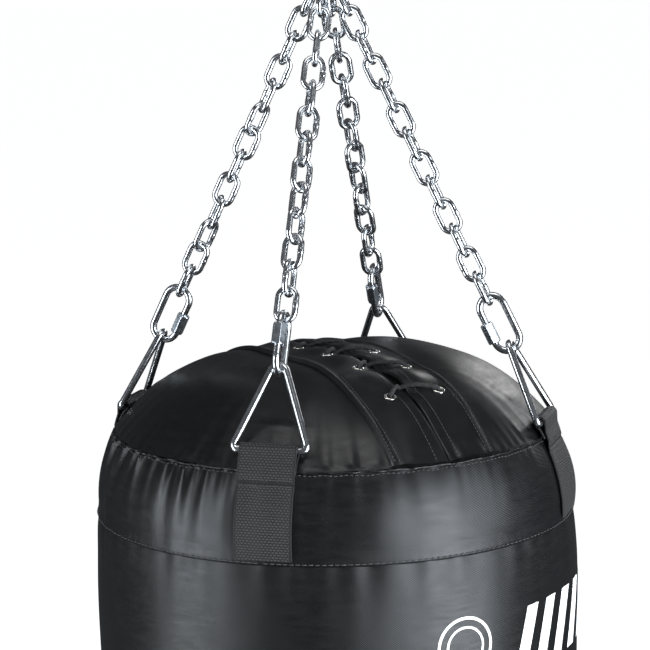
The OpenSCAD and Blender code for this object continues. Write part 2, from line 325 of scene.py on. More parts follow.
def paint_weave_light_and_shade(mat):
    """Yarn floats on the face of the weave are painted paler than the ground between them: a painted
    highlight on the raised floats and painted shade in the gaps.
    """
    tree = mat.node_tree
    shader = tree.nodes["Principled BSDF"]
    painted_weave_light = add(tree, "ShaderNodeAttribute", attribute_name="weave")
    colour = ramp(tree, painted_weave_light.outputs["Fac"], grey(0.0035), (0.046, 0.045, 0.043), (0.35, 0.95))
    tree.links.new(colour, shader.inputs["Base Color"])


# the webbing's colour gets painted highlights on its floats, and painted shade between them and in the bar
# tack's dip
paint_weave_light_and_shade(WEBBING)
LACE = thread("lace_yarn", (0.006, 0.006, 0.0065), 0.7, 0.1)
STITCH = thread("stitch_thread", (0.03, 0.03, 0.032), 0.5, 0.1)
FILL = thread("filling_scraps", (0.2, 0.2, 0.2), 0.9, 0.3)


# ---------- where the legs are ----------
def leg_frame(side):
    """Base bar centre, direction up the leg, along the base bar, and out of the leg's face."""
    tilt = JOINTS[f"ring_{side}_tilt"]
    base = np.array(tilt["pos_m"])
    up = unit(np.array(JOINTS[f"leg_{side}_tilt"]["pos_m"]) - base)
    along = unit(np.array(tilt["axis"], float))
    out = unit(np.cross(along, up))
    return base, up, np.cross(out, up), out


def stadium(centre, up, wide, inner_len, inner_w, wire, points=72):
    """Closed centreline of a long link, and the distance of each point along it."""
    r = (inner_w + wire) / 2
    h = inner_len / 2 + wire / 2 - r
    total = 4 * h + 2 * math.pi * r
    s = np.linspace(0, total, points, endpoint=False)
    u = np.empty(points)
    v = np.empty(points)
    bend = math.pi * r
    for i, d in enumerate(s):
        if d < 2 * h:
            u[i], v[i] = r, d - h
        elif d < 2 * h + bend:
            t = (d - 2 * h) / r
            u[i], v[i] = r * math.cos(t), h + r * math.sin(t)
        elif d < 4 * h + bend:
            u[i], v[i] = -r, h - (d - 2 * h - bend)
        else:
            t = (d - 4 * h - bend) / r
            u[i], v[i] = -r * math.cos(t), -h - r * math.sin(t)
    return centre + np.outer(u, wide) + np.outer(v, up), s, h


def make_chain(side):
    """The leg's links, each with a weld bead in the middle of one side."""
    base, up, wide, out = leg_frame(side)
    top = base + up * LEG_LEN
    tubes = []
    rng = np.random.default_rng(11 + SIDES.index(side))
    for n in range(LINKS):
        centre = top + up * (BOW_SEAT + 0.0002 - PITCH * (n + 0.5))
        turn = math.radians(FIRST_TURN[side] + n * (90 + TWIST[side]) + EXTRA_TURN.get(side, (0,) * LINKS)[n])
        across = wide * math.cos(turn) + out * math.sin(turn)
        if rng.random() < 0.5:
            across = -across
        path, s, h = stadium(centre, up, across, PITCH + 0.0002, 0.0105, CHAIN_WIRE)
        bead = bell(s - h, 0.0013) * 0.24 - bell(s - h, 0.0004) * 0.2
        crown = 0.02 * np.sin(np.linspace(0, 4 * math.pi, len(s)))
        tubes.append((path, CHAIN_WIRE / 2 * (0.985 + bead + crown * 0.4), True, 16))
    piece = join_tubes(f"chain_links_{side}", tubes, STEEL)
    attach(piece, f"leg_{side}")
    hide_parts(f"chain_{side}")


def make_quick_link(side):
    """Open wire loop with two threaded ends, and the hexagonal sleeve that closes it."""
    base, up, wide, out = leg_frame(side)
    centre = base + up * (RING_H + QUICK_LEN / 2 + 0.00015)
    hand = SLEEVE_SIDE[side]
    rise = SLEEVE_UP[side]
    r = 0.011
    h = (QUICK_LEN + 0.0006) / 2 + QUICK_WIRE / 2 - r
    mouth = (rise * 0.005, rise * 0.011)
    low, high = min(mouth), max(mouth)
    angle = np.linspace(0, math.pi, 25)
    upper = [(hand * r * math.cos(t), h + r * math.sin(t)) for t in angle]
    lower = [(-hand * r * math.cos(t), -h - r * math.sin(t)) for t in angle]
    thread_up = [(hand * r, z) for z in np.linspace(high, h, 30)[:-1]]
    thread_low = [(hand * r, z) for z in np.linspace(-h, low, 46)[1:]]
    plane = np.array(thread_up + upper + lower + thread_low)
    path = centre + np.outer(plane[:, 0], out) + np.outer(plane[:, 1], up)
    radius = np.full(len(plane), QUICK_WIRE / 2)
    threaded = (np.abs(plane[:, 0] - hand * r) < 1e-6) & (np.abs(plane[:, 1]) < h - 0.0012)
    radius[threaded] -= 0.00022 * (1 + np.sin(plane[threaded, 1] * 2 * math.pi / 0.001)) / 2
    link = join_tubes(f"quick_link_wire_{side}", [(path, radius, False, 20)], STEEL)
    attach(link, f"leg_{side}")
    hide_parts(f"quick_link_{side}")
    make_sleeve(side, centre + out * hand * r + up * rise * 0.0045, up, wide, out)


def make_sleeve(side, centre, up, wide, out):
    """Hexagonal nut sleeve with chamfered ends and a bored middle."""
    half = 0.009
    flat_r = 0.0057 * math.cos(math.pi / 6)
    profile = [(-half, 0.0033), (-half, 0.0049), (-half + 0.0009, 0.0057), (half - 0.0009, 0.0057)]
    profile += [(half, 0.0049), (half, 0.0033)]
    sides = 96
    verts = []
    for z, r in profile:
        for k in range(sides):
            a = 2 * math.pi * k / sides
            hexed = flat_r / math.cos((a + math.pi / 6) % (math.pi / 3) - math.pi / 6)
            reach = min(r, hexed) if r > 0.0034 else r
            verts.append(centre + up * z + (out * math.cos(a) + wide * math.sin(a)) * reach)
    faces = grid_faces(len(profile), sides, wrap_rows=True, wrap_cols=True)
    sleeve = new_piece(f"hex_sleeve_{side}", verts, faces, SLEEVE_STEEL, smooth=False)
    bevel = sleeve.modifiers.new("edges", "BEVEL")
    bevel.width = 0.00025
    bevel.segments = 2
    bevel.limit_method = "ANGLE"
    bevel.angle_limit = math.radians(25)
    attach(sleeve, f"sleeve_{side}")
    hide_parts(f"sleeve_{side}")


def make_ring(side):
    """Triangle ring: one bent wire, with a butt weld in its base bar."""
    base, up, wide, out = leg_frame(side)
    corner, top, half, slope = 0.004, 0.007, 0.0322, math.radians(68.6)
    base_c = half - corner / math.tan(slope / 2)
    apex_c = half * math.tan(slope) - top / math.cos(slope)
    plane = [(x, 0.0) for x in np.linspace(-base_c, base_c, 25)[1:-1]]
    turn = math.pi - slope
    bend = [(corner * math.sin(t), corner - corner * math.cos(t)) for t in np.linspace(0, turn, 17)]
    plane += [(base_c + x, z) for x, z in bend]
    end = math.pi / 2 - slope
    apex = [(top * math.cos(t), apex_c + top * math.sin(t)) for t in np.linspace(end, math.pi - end, 25)]
    start = np.array(plane[-1])
    plane += [tuple(start + (np.array(apex[0]) - start) * k / 16) for k in range(1, 16)]
    plane += apex
    left_foot = np.array([-start[0], start[1]])
    from_apex = np.array(apex[-1])
    plane += [tuple(from_apex + (left_foot - from_apex) * k / 16) for k in range(1, 16)]
    plane += [(-base_c - x, z) for x, z in reversed(bend)]
    plane = np.array(plane)
    path = base + np.outer(plane[:, 0], wide) + np.outer(plane[:, 1], up)
    radius = np.full(len(plane), RING_WIRE / 2)
    radius += 0.00035 * bell(plane[:, 0], 0.0012) * (plane[:, 1] < 0.001)
    ring = join_tubes(f"triangle_ring_{side}", [(path, radius, True, 20)], STEEL)
    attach(ring, f"ring_{side}")
    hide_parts(f"ring_{side}")


# ---------- the bag's surface ----------
gather_fine = ripple(3, 60, 130)
gather_mid = ripple(5, 26, 60)
gather_wide = ripple(7, 9, 20)
pucker = ripple(9, 110, 190)
body_wave = ripple(13, 3, 9)
dome_lumps = lumps(21, 0.12)
shell_lumps = lumps(23, 0.22)
flap_lumps = lumps(24, 0.05)


def slit_coords(x, y):
    """Across and along the slit, from the frame's x and y."""
    c, s = math.cos(SLIT_TURN), math.sin(SLIT_TURN)
    return x * c + y * s, -x * s + y * c


def from_slit(across, along):
    c, s = math.cos(SLIT_TURN), math.sin(SLIT_TURN)
    return across * c - along * s, across * s + along * c


def near_strap(a):
    """1 beside a strap, 0 away from it; a is 0 at the front and grows to the right."""
    d = (a + math.pi / 4) % (math.pi / 2) - math.pi / 4
    return bell(d, 0.16)


def fold_zone(a):
    """Where the folds are deep: beside the straps, above all to the right of the front one."""
    return 0.35 + 1.5 * bell(a - 0.24, 0.13) + 0.7 * bell(a + 0.28, 0.16) + 0.3 * bell(a - 1.36, 0.2)


def dome_z(x, y):
    """Height of the domed top at a plan position."""
    r = np.hypot(x, y)
    a = np.arctan2(x, -y)
    t = np.clip(r / (RIM_R + 0.0012), 0, 1)
    z = RIM_Z + (DOME_H + 0.001) * (1 - t**3.3)
    across, along = slit_coords(x, y)
    inner = 1 - t**4
    z = z - 0.009 * np.exp(-((across / 0.058) ** 4)) * inner
    z = z + 0.0016 * dome_lumps(x, y) * inner
    edge = np.clip(RIM_R - r, 0, 1)
    z = z + 0.0007 * fold_zone(a) * gather_mid(a) * np.exp(-edge / 0.022) * ease(edge, 0, 0.004)
    z = z + 0.0004 * gather_fine(a) * np.exp(-edge / 0.008) * ease(edge, 0, 0.003)
    z = z - 0.006 * near_strap(a) * np.exp(-edge / 0.014)
    z = z + 0.0016 * bell(edge - 0.030, 0.005) * near_strap(a)
    return z


def dome_normal(x, y):
    e = 0.0006
    dx = (dome_z(x + e, y) - dome_z(x - e, y)) / (2 * e)
    dy = (dome_z(x, y + e) - dome_z(x, y - e)) / (2 * e)
    return unit(np.stack([-dx, -dy, np.ones_like(np.asarray(dx, float))], -1))


def ring_angle(count):
    return np.linspace(0, 2 * math.pi, count, endpoint=False)


def revolve(name, radius, height, material, cols, rows):
    """A surface around the axis; radius and height are functions of (row value 0..1, angle)."""
    a = ring_angle(cols)[None, :]
    t = np.linspace(0, 1, rows)[:, None]
    r = radius(t, a) + 0 * a
    z = height(t, a) + 0 * a
    verts = np.stack([r * np.sin(a), -r * np.cos(a), z], -1).reshape(-1, 3)
    return new_piece(name, verts, grid_faces(rows, cols, wrap_cols=True), material)


def on_bag(piece, slot, *nodes, padded=None):
    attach(piece, "bag")
    if nodes:
        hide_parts(*nodes)
    return piece


def make_dome():
    """Domed top panel, drawn in at its seam."""
    cols, rows = 720, 110
    a = ring_angle(cols)[None, :]
    t = np.linspace(0, 1, rows)[:, None] ** 1.35
    r = RIM_R * (1 - t) + 0.0002
    x = r * np.sin(a)
    y = -r * np.cos(a)
    z = dome_z(x, y)
    verts = np.stack([x, y, z], -1).reshape(-1, 3)
    faces = [f[::-1] for f in grid_faces(rows, cols, wrap_cols=True)]
    piece = new_piece("dome_cover", verts, faces, VINYL_TOP)
    on_bag(piece, "vinyl", "top_panel", padded=0.7)


def collar_r(depth, a):
    """Radius of the collar at a depth below the upper seam, from 0 to its height."""
    t = depth / COLLAR_H
    r = RIM_R + (BODY_R - 0.0025 - RIM_R) * (1 - (1 - t) ** 2.2)
    r = r + 0.0022 * np.sin(np.pi * np.clip(t, 0, 1)) ** 0.8
    left = ease(np.cos(a + 0.62), 0.55, 0.95)
    folds = 0.16 + 1.0 * left + 0.5 * ease(np.cos(a - 2.9), 0.3, 0.9)
    start = ease(depth, 0, 0.003)
    r = r + 0.0017 * folds * gather_mid(a + 0.25 * depth) * np.exp(-depth / 0.026) * start
    r = r + 0.0009 * folds * gather_fine(a) * np.exp(-depth / 0.011) * start
    r = r + 0.0009 * gather_wide(a) * np.sin(np.pi * np.clip(t, 0, 1))
    return r - 0.0018 * near_strap(a) * bell(t - 0.3, 0.5)


def make_collar():
    """Collar band between the two seams, gathered under the upper one."""
    depth = lambda t, a: COLLAR_H * t**1.15
    piece = revolve(
        "collar_cover",
        lambda t, a: collar_r(depth(t, a), a),
        lambda t, a: RIM_Z - depth(t, a),
        VINYL, 960, 90,
    )
    on_bag(piece, "vinyl", "collar_band", padded=0.8)


def shell_r(depth, a):
    """Radius of the main shell at a depth below the lower seam."""
    total = SEAM_Z - SHELL_BOTTOM
    lower = total - depth
    r = BODY_R + 0.0012 * (1 - np.exp(-depth / 0.02)) - 0.0030 * np.exp(-depth / 0.010)
    r = r - 0.003 * np.exp(-lower / 0.012)
    r = r + 0.0008 * body_wave(a + 0.4 * depth) * ease(depth, 0, 0.08) * ease(lower, 0, 0.08)
    lump = shell_lumps(BODY_R * np.sin(a) + depth, BODY_R * np.cos(a) - 0.6 * depth)
    r = r + 0.0007 * lump * ease(depth, 0.0, 0.05) * ease(lower, 0, 0.05)
    r = r + 0.0005 * gather_mid(a) * np.exp(-depth / 0.02) * ease(depth, 0, 0.004)
    r = r + 0.0007 * gather_mid(a + 1) * np.exp(-lower / 0.03) * ease(lower, 0, 0.004)
    return r


def make_shell():
    """Main shell, slightly lumpy from its packed filling."""
    total = SEAM_Z - SHELL_BOTTOM
    depth = lambda t, a: total * (0.25 * t + 0.75 * t**2.2)
    piece = revolve(
        "shell_cover",
        lambda t, a: shell_r(depth(t, a), a),
        lambda t, a: SEAM_Z - depth(t, a),
        VINYL_SHELL, 640, 240,
    )
    on_bag(piece, "vinyl", "main_shell", padded=0.9)


def make_filling():
    """Packed filling, wholly inside the covers."""
    rows = 24
    heights = np.array([0.02, 0.02, 0.06, 0.5, 0.9, 1.0, 1.02, 1.02])
    widths = np.array([0.0, 0.85, 0.93, 0.95, 0.95, 0.80, 0.60, 0.0])
    step = np.linspace(0, 1, len(heights))
    piece = revolve(
        "packed_filling",
        lambda t, a: np.interp(t, step, widths) * (RIM_R + 0.006 * body_wave(a)),
        lambda t, a: SHELL_BOTTOM + np.interp(t, step, heights) * (SEAM_Z + 0.03 - SHELL_BOTTOM),
        FILL, 120, rows,
    )
    on_bag(piece, "filling", "filling", padded=0.9)


def make_bottom():
    """Round bottom panel, bulged by the filling."""
    cols, rows = 360, 40
    a = ring_angle(cols)[None, :]
    t = np.linspace(0, 1, rows)[:, None]
    r = (BODY_R - 0.003) * (1 - t) + 0.0002
    x, y = r * np.sin(a), -r * np.cos(a)
    z = SHELL_BOTTOM + 0.001 - 0.009 * (1 - (r / BODY_R) ** 2.5) + 0.0012 * dome_lumps(x, y)
    z = z + 0.0012 * gather_mid(a) * np.exp(-(BODY_R - r) / 0.02)
    verts = np.stack([x, y, z], -1).reshape(-1, 3)
    piece = new_piece("bottom_cover", verts, grid_faces(rows, cols, wrap_cols=True), VINYL)
    on_bag(piece, "vinyl", "bottom_panel", padded=0.8)


def loop_path(radius, height, a):
    return np.stack([radius * np.sin(a), -radius * np.cos(a), height], -1)


def make_piping():
    """Sewn edges: the tucked upper seam, the folded band edge on the lower seam, the bottom welt."""
    a = ring_angle(900)
    wave = 0.0002 * gather_fine(a) + 0.0003 * gather_mid(a)
    upper = loop_path(RIM_R + 0.0004 + wave, RIM_Z + 0.0003 * gather_mid(a + 2), a)
    girth = 0.0010 * (1 + 0.15 * pucker(a)[:, None] * np.ones((1, 10)))
    piece = join_tubes("upper_seam_welt", [(upper, np.clip(girth, 0.0007, 0.002), True, 10)], PIPING)
    on_bag(piece, "piping", "upper_piping")
    # the collar's folded edge laps over the main shell
    rows = 9
    t = np.linspace(0, 1, rows)[:, None]
    wob = 0.00005 * pucker(a)[None, :]
    out = np.array([0.0, 0.0003, 0.0006, 0.0010, 0.0019, 0.0021, 0.0018, 0.0010, -0.0016])[:, None]
    z = SEAM_Z + np.array([0.012, 0.010, 0.007, 0.004, 0.001, -0.002, -0.0034, -0.0042, -0.0044])[:, None]
    under = collar_r(np.clip(RIM_Z - z, 0, COLLAR_H) * np.ones_like(a)[None, :], a[None, :])
    r = under + out - 0.0004 + wob * ease(t, 0.2, 0.8)
    verts = np.stack([r * np.sin(a), -r * np.cos(a), z + 0 * a + wob * 0.6], -1).reshape(-1, 3)
    faces = grid_faces(rows, len(a), wrap_cols=True)
    band = new_piece("lower_seam_fold", verts, faces, VINYL)
    on_bag(band, "piping", "lower_piping")
    welt = loop_path(BODY_R + 0.0006 + 0.0003 * gather_mid(a), SHELL_BOTTOM + 0.003 + 0 * a, a)
    piece = join_tubes("bottom_welt", [(welt, 0.0023, True, 12)], PIPING)
    on_bag(piece, "piping", "bottom_piping")


def make_back_seam():
    """Overlapped upright seam at the back of the shell."""
    rows, cols = 200, 9
    depth = np.linspace(0.008, SEAM_Z - SHELL_BOTTOM - 0.008, rows)[:, None]
    across = np.linspace(-0.011, 0.011, cols)[None, :]
    lift = np.array([0.0, 0.0011, 0.0013, 0.0013, 0.0013, 0.0013, 0.0013, 0.0011, 0.0])[None, :]
    a = math.pi - across / BODY_R + 0 * depth
    r = shell_r(depth, a) + lift
    verts = np.stack([r * np.sin(a), -r * np.cos(a), SEAM_Z - depth + 0 * a], -1).reshape(-1, 3)
    piece = new_piece("back_seam_lap", verts, grid_faces(rows, cols), VINYL_SHELL)
    on_bag(piece, "vinyl", "back_seam_strip")


# ---------- stitches ----------
def along_line(values, dist, at):
    """The value at a distance along a line, from its values at the distances in dist."""
    return np.array([np.interp(at, dist, values[:, c]) for c in range(3)])


def stitches(name, lines, pitch=0.0036, length=0.0026, thick=0.00038):
    """Short raised stitches along each line; a line is (points, normals)."""
    verts, faces = [], []
    for points, normals in lines:
        points = np.asarray(points)
        step = np.linalg.norm(np.diff(points, axis=0), axis=1)
        dist = np.concatenate([[0], np.cumsum(step)])
        for d in np.arange(pitch / 2, dist[-1] - pitch / 2, pitch):
            ends = [along_line(points, dist, d + k * length / 2) for k in (-1, 0, 1)]
            normal = along_line(normals, dist, d)
            along = unit(ends[2] - ends[0])
            side = unit(np.cross(normal, along))
            start = len(verts)
            for p, lift, wide in ((ends[0], -0.3, 0.6), (ends[1], 0.9, 1.1), (ends[2], -0.3, 0.6)):
                for k in range(6):
                    t = k * math.pi / 3
                    offset = side * math.cos(t) * thick * wide + normal * (lift + 0.6 * math.sin(t)) * thick
                    verts.append(p + offset)
            faces += grid_faces(3, 6, wrap_cols=True, start=start)
            faces.append(tuple(range(start, start + 6))[::-1])
            faces.append(tuple(range(start + 12, start + 18)))
    piece = new_piece(name, verts, faces, STITCH)
    return on_bag(piece, "lace")


# ---------- lace-up closure ----------
def row_pinch(along):
    """1 at a lace row, 0 midway between rows, and 0 past the last ones."""
    return sum(bell(along - y, 0.013) for y in ROWS)


def laced(along):
    """1 along the laced stretch of the slit."""
    return ease(along, ROWS[0] - 0.02, ROWS[0] + 0.01) * (1 - ease(along, ROWS[-1] + 0.03, ROWS[-1] + 0.07))


def slit_edge(hand, along):
    """Distance of a flap's free edge from the slit's line."""
    puffed = laced(along) * (1 - np.clip(row_pinch(along), 0, 1))
    return 0.0012 + 0.0016 * laced(along) + 0.0022 * puffed * (1 if hand < 0 else 0.6)


def flap_lift(hand, across, along):
    """Height of a flap's face above the domed top."""
    inner = np.abs(across) - slit_edge(hand, along)
    outer = abs(FLAP_EDGE_LEFT if hand < 0 else FLAP_EDGE_RIGHT) - np.abs(across)
    lift = FLAP_HEIGHT
    puff = laced(along) * (1 - np.clip(row_pinch(along), 0, 1))
    lift = lift + 0.0036 * puff * bell(inner - 0.010, 0.015)
    lift = lift - 0.0022 * laced(along) * np.clip(row_pinch(along), 0, 1) * bell(inner, 0.010)
    lift = lift + 0.0007 * flap_lumps(across, along) * ease(outer, 0, 0.012)
    lift = lift * ease(inner, -0.0012, 0.0016) ** 0.5
    fold = 0.0013 * bell(outer - 0.0022, 0.0022)
    return lift * (0.15 + 0.85 * ease(outer, -0.0002, 0.0022)) + fold * ease(outer, 0, 0.001)


def flap_point(hand, across, along, raise_by=0.0):
    """Point and normal on a flap's face."""
    x, y = from_slit(across, along)
    normal = dome_normal(x, y)
    base = np.stack([x, y, dome_z(x, y)], -1)
    return base + normal * (flap_lift(hand, across, along) + raise_by)[..., None], normal


def make_flap(hand, name, node):
    """One closure flap: a folded edge on the dome's side, a wavy free edge at the slit."""
    edge = abs(FLAP_EDGE_LEFT if hand < 0 else FLAP_EDGE_RIGHT)
    rows, cols = 420, 64
    t = np.linspace(0, 1, cols)[None, :]
    t = t - 0.07 * np.sin(2 * math.pi * t)
    v = np.linspace(-1, 1, rows)[:, None]
    across = hand * (0.0008 + (edge - 0.0008) * t) + 0 * v
    end = np.sqrt(np.maximum((RIM_R - 0.0004) ** 2 - across**2, 0))
    along = v * end
    inner = slit_edge(hand, along)
    across = hand * (inner + (edge - inner) * t)
    face, normal = flap_point(hand, across, along)
    verts = [face.reshape(-1, 3)]
    faces = grid_faces(rows, cols)
    if hand < 0:
        faces = [f[::-1] for f in faces]
    # turned-under lip along the free edge
    lip = face[:, 0:1] - normal[:, 0:1] * np.linspace(0.0004, 0.0035, 4)[None, :, None]
    lip = lip + np.zeros_like(lip)
    start = rows * cols
    verts.append(lip.reshape(-1, 3))
    lip_faces = grid_faces(rows, 4, start=start)
    bridge = [(i * cols, (i + 1) * cols, start + (i + 1) * 4, start + i * 4) for i in range(rows - 1)]
    faces += lip_faces + bridge
    piece = new_piece(name, np.vstack(verts), faces, VINYL_TOP)
    on_bag(piece, "vinyl", node, padded=0.4)


def make_tongue():
    """Dark tongue seen in the slit."""
    rows, cols = 160, 13
    across = np.linspace(-0.012, 0.012, cols)[None, :]
    v = np.linspace(-0.98, 0.98, rows)[:, None]
    end = np.sqrt((RIM_R - 0.003) ** 2 - across**2)
    along = v * end
    x, y = from_slit(across + 0 * v, along)
    z = dome_z(x, y) + 0.0004 - 0.0022 * laced(along) * bell(across, 0.006)
    verts = np.stack([x, y, z], -1).reshape(-1, 3)
    piece = new_piece("slit_tongue_cover", verts, grid_faces(rows, cols), TONGUE)
    on_bag(piece, "vinyl", "slit_tongue", padded=0.3)


def eyelet_places(hand):
    x = EYELET_LEFT if hand < 0 else EYELET_RIGHT
    for y in ROWS:
        point, normal = flap_point(hand, np.array(x), np.array(y))
        yield y, point, normal


def make_eyelets(hand, name, node):
    """Rolled metal rims pressed into the flap."""
    verts, faces = [], []
    profile = []
    for t in np.linspace(-0.35 * math.pi, 1.25 * math.pi, 14):
        profile.append((0.00395 + 0.00135 * math.cos(t), 0.0002 + 0.00085 * math.sin(t)))
    profile.append((0.0026, -0.0024))
    for _, point, normal in eyelet_places(hand):
        first = unit(np.cross(normal, [0.3, 1.0, 0.1]))
        second = np.cross(normal, first)
        start = len(verts)
        for r, h in profile:
            for k in range(40):
                t = 2 * math.pi * k / 40
                verts.append(point + (first * math.cos(t) + second * math.sin(t)) * r + normal * h)
        faces += grid_faces(len(profile), 40, wrap_cols=True, start=start)
    piece = new_piece(name, verts, faces, EYELET_STEEL)
    on_bag(piece, "eyelet_metal", node)


def smooth_path(points, count):
    """Catmull-Rom curve through points, evenly spaced."""
    points = np.asarray(points, float)
    padded = np.vstack([2 * points[0] - points[1], points, 2 * points[-1] - points[-2]])
    out = []
    for i in range(len(points) - 1):
        p0, p1, p2, p3 = padded[i : i + 4]
        for t in np.linspace(0, 1, 24, endpoint=False):
            out.append(0.5 * (2 * p1 + (p2 - p0) * t + (2 * p0 - 5 * p1 + 4 * p2 - p3) * t**2
                              + (3 * p1 - p0 - 3 * p2 + p3) * t**3))
    out = np.array(out + [points[-1]])
    dist = np.concatenate([[0], np.cumsum(np.linalg.norm(np.diff(out, axis=0), axis=1))])
    even = np.linspace(0, dist[-1], count)
    return np.stack([np.interp(even, dist, out[:, c]) for c in range(3)], -1)


def make_lace():
    """Braided lace: at each row it rises from one eyelet, dips into the slit and enters the other."""
    tubes = []
    left = {y: (p, n) for y, p, n in eyelet_places(-1)}
    right = {y: (p, n) for y, p, n in eyelet_places(1)}
    for y in ROWS:
        (pl, nl), (pr, nr) = left[y], right[y]
        reach = y + 0.012
        dip = []
        for hand, across in ((-1, -0.0045), (-1, -0.001), (1, 0.003), (1, 0.012)):
            along = y + (reach - y) * (1 - abs(across) / 0.03)
            p, n = flap_point(hand, np.array(across), np.array(along))
            lift = 0.0012 if abs(across) < 0.004 else 0.0021
            dip.append(p + n * lift)
        mid_left = (pl + dip[0]) / 2 + nl * 0.0012
        points = [pl - nl * 0.003, pl + nl * 0.0006, pl + (dip[0] - pl) * 0.22 + nl * 0.0022, mid_left]
        points += dip
        points += [pr + (dip[-1] - pr) * 0.25 + nr * 0.0024, pr + nr * 0.0006, pr - nr * 0.003]
        path = smooth_path(points, 230)
        sides = 20
        s = np.linspace(0, 1, len(path))[:, None] * 0.046 / 0.0042 * 2 * math.pi
        t = np.linspace(0, 2 * math.pi, sides, endpoint=False)[None, :]
        braid = np.maximum(np.sin(3 * t + s), np.sin(3 * t - s))
        tubes.append((path, 0.0016 * (1 + 0.15 * braid), False, sides))
    piece = join_tubes("braided_lace", tubes, LACE)
    on_bag(piece, "lace", "lace")


def make_closure_stitching():
    """Double rows beside the flaps' outer edges and one row on each side of the slit."""
    lines = []
    for hand, offsets in ((-1, (0.0100, 0.0420, 0.0455)), (1, (0.0105, 0.0390, 0.0425))):
        for offset in offsets:
            end = math.sqrt((RIM_R - 0.002) ** 2 - offset**2)
            along = np.linspace(-end, end, 260)
            point, normal = flap_point(hand, np.full(260, hand * offset), along, 0.0001)
            lines.append((point, normal))
    stitches("closure_stitching", lines)


def make_seam_stitching():
    """Stitches just above and below the seams."""
    a = ring_angle(720)
    a = np.append(a, a[0] + 2 * math.pi)
    lines = []
    z = RIM_Z - 0.0024 + 0.0003 * gather_mid(a)
    r = collar_r(RIM_Z - z, a) + 0.0001
    lines.append((loop_path(r, z, a), loop_path(np.ones_like(a), 0.3 + 0 * a, a)))
    stitches("upper_seam_stitching", lines, pitch=0.0042, length=0.0028)
    z = SEAM_Z - 0.0016 + 0 * a
    r = collar_r(np.full_like(a, COLLAR_H), a) + 0.0021
    lower = [(loop_path(r, z, a), loop_path(np.ones_like(a), 0 * a, a))]
    stitches("lower_seam_stitching", lower, pitch=0.0052, length=0.0037, thick=0.00042)
    lines = []
    for shift in (-0.008, 0.008):
        depth = np.linspace(0.01, SEAM_Z - SHELL_BOTTOM - 0.01, 300)
        side = np.full_like(depth, math.pi + shift / BODY_R)
        r = shell_r(depth, side) + 0.0014
        lines.append((loop_path(r, SEAM_Z - depth, side), loop_path(np.ones_like(side), 0 * side, side)))
    stitches("back_seam_stitching", lines, pitch=0.005, length=0.0036)


# ---------- printed marks ----------
PRINT = vinyl("print_ink", (0.8, 0.8, 0.8), 0.5)
MARK_AT = 0.80  # angle round the bag, from the front ring to the right
MARK_DEPTH = 0.078  # below the lower seam
BAR_WIDTH = 0.016


def printed(name, outline_pairs):
    """Ink laid on the shell; each pair holds two lines of (distance to the right, depth)."""
    verts, faces = [], []
    for first, second in outline_pairs:
        start = len(verts)
        for line in (first, second):
            for side, depth in line:
                a = MARK_AT + side / BODY_R
                r = float(shell_r(np.array(depth), np.array(a))) + 0.0004
                verts.append((r * math.sin(a), -r * math.cos(a), SEAM_Z - depth))
        faces += grid_faces(2, len(first), start=start)
    piece = new_piece(name, verts, faces, PRINT)
    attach(piece, "bag")


def make_prints():
    """A plain ring outline and a row of plain slanted bars."""
    turn = np.linspace(0, 2 * math.pi, 73)
    ring_lines = []
    for outer, inner in ((0.025, 0.0225), (0.017, 0.015)):
        lines = [[(k * math.sin(t), MARK_DEPTH - k * math.cos(t)) for t in turn] for k in (outer, inner)]
        ring_lines.append(lines)
    printed("print_ring", ring_lines)
    bars = []
    for k in range(5):
        left = 0.062 + 0.030 * k
        down = np.linspace(0, 0.055, 12)
        slant = [(left - 0.35 * (d - 0.02), MARK_DEPTH - 0.020 + d) for d in down]
        bars.append([slant, [(x + BAR_WIDTH, depth) for x, depth in slant]])
    printed("print_bars", bars)


# ---------- webbing straps ----------
def weave(u, v):
    """Height from 0 to 1 of plain-woven webbing: short floats in staggered rows."""
    row = np.floor(v / WEAVE_ROW)
    shift = np.where(row % 2 == 0, 0.0, 0.5) * WEAVE_FLOAT
    floats = np.abs(np.sin(math.pi * (u + shift) / WEAVE_FLOAT)) ** 0.6
    ribs = np.abs(np.sin(math.pi * v / WEAVE_ROW)) ** 0.8
    return floats * ribs


def strap_route(side):
    """Profile of a strap in its radial plane: (radius, height) from the tail up and round the bar."""
    base = np.array(JOINTS[f"ring_{side}_tilt"]["pos_m"])
    bar_r, bar_z = math.hypot(base[0], base[1]), base[2]
    wrap = RING_WIRE / 2 + 0.0004 + STRAP_T / 2
    points = []
    for depth in np.linspace(COLLAR_H - 0.0005, 0.012, 14):
        points.append((None, RIM_Z - depth))
    points.append((RIM_R + 0.0042, RIM_Z - 0.002))
    points.append((RIM_R + 0.0018, RIM_Z + 0.005))
    for t in np.linspace(math.radians(-5), math.radians(245), 16):
        points.append((bar_r + wrap * math.cos(t), bar_z + wrap * math.sin(t)))
    points.append((RIM_R - 0.0024, RIM_Z + 0.0055))
    points.append((RIM_R + 0.0010, RIM_Z - 0.001))
    return points


